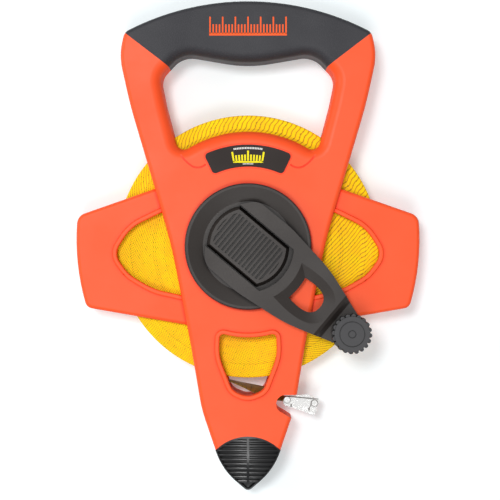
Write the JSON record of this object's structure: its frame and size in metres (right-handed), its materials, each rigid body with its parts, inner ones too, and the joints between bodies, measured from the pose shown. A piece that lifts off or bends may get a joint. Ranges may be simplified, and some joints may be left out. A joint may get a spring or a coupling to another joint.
{
  "type": "surveyor tape reel",
  "caption": "Open-reel surveyor's tape: clamshell frame with hand grip, pointed nose, folding-hook end fitting and a cranked reel with thumb lock.",
  "frame": {"origin": "reel axis where it meets the flat rear face the reel rests on", "axes": "+Z along the reel axis towards the crank side, +Y towards the hand grip, +X to the right seen from the crank side"},
  "size_m": [0.2268, 0.3233, 0.054],
  "materials": {
    "orange_plastic": "satin, fine moulded texture",
    "grip_rubber": "matt, fine grain",
    "black_gloss": "glossy moulded",
    "label_black": "printed label, satin",
    "zinc_steel": "zinc plated",
    "spring_steel": "tempered strip",
    "stainless": "bright stamped sheet",
    "acetal": "smooth white",
    "black_plastic": "fine moulded texture",
    "knob_black": "satin",
    "tape_yellow": "fibreglass tape, satin"
  },
  "bodies": {
    "frame": {"front_frame": "orange_plastic", "rear_frame": "orange_plastic", "grip_front": "grip_rubber", "grip_rear": "grip_rubber", "ground_tip": "black_gloss", "label_plate": "label_black", "frame_screws": "zinc_steel", "front_bushing": "acetal", "rear_bushing": "acetal", "tape_lead": "tape_yellow"},
    "reel": {"reel_drum": "black_plastic", "tape_anchor": "zinc_steel", "tape_pack": "tape_yellow", "spindle": "zinc_steel", "thrust_washer": "acetal", "crank_disc": "black_plastic", "crank_arm": "black_plastic", "crank_screw": "zinc_steel", "detent_spring": "spring_steel", "knob_pin": "zinc_steel"},
    "thumb_lock": {"lock_slide": "black_plastic", "lock_bolt": "zinc_steel"},
    "crank_knob": {"knob": "knob_black", "knob_cap": "knob_black"},
    "hook": {"end_fitting": "stainless", "tape_rivet": "stainless", "claw_rivet": "stainless"},
    "claw": {"end_claw": "stainless"}
  },
  "joints": [
    {"name": "reel_spin", "type": "hinge", "parent": "frame", "child": "reel", "pos_m": [0, 0, 0.017], "axis": [0, 0, 1], "continuous": true},
    {"name": "knob_spin", "type": "hinge", "parent": "reel", "child": "crank_knob", "pos_m": [0.06731, -0.05668, 0.035], "axis": [0, 0, 1], "continuous": true},
    {"name": "lock_slide", "type": "slide", "parent": "reel", "child": "thumb_lock", "axis": [0.7649, -0.6441, 0], "range_m": [0, 0.0024]},
    {"name": "fitting_swing", "type": "hinge", "parent": "frame", "child": "hook", "pos_m": [0.0259, -0.1019, 0.017], "axis": [0, 0, 1], "range_deg": [-14, 4]},
    {"name": "claw_fold", "type": "hinge", "parent": "hook", "child": "claw", "pos_m": [0.0442, -0.1041, 0.017], "axis": [0, 0, 1], "range_deg": [-110, 0]}
  ]
}
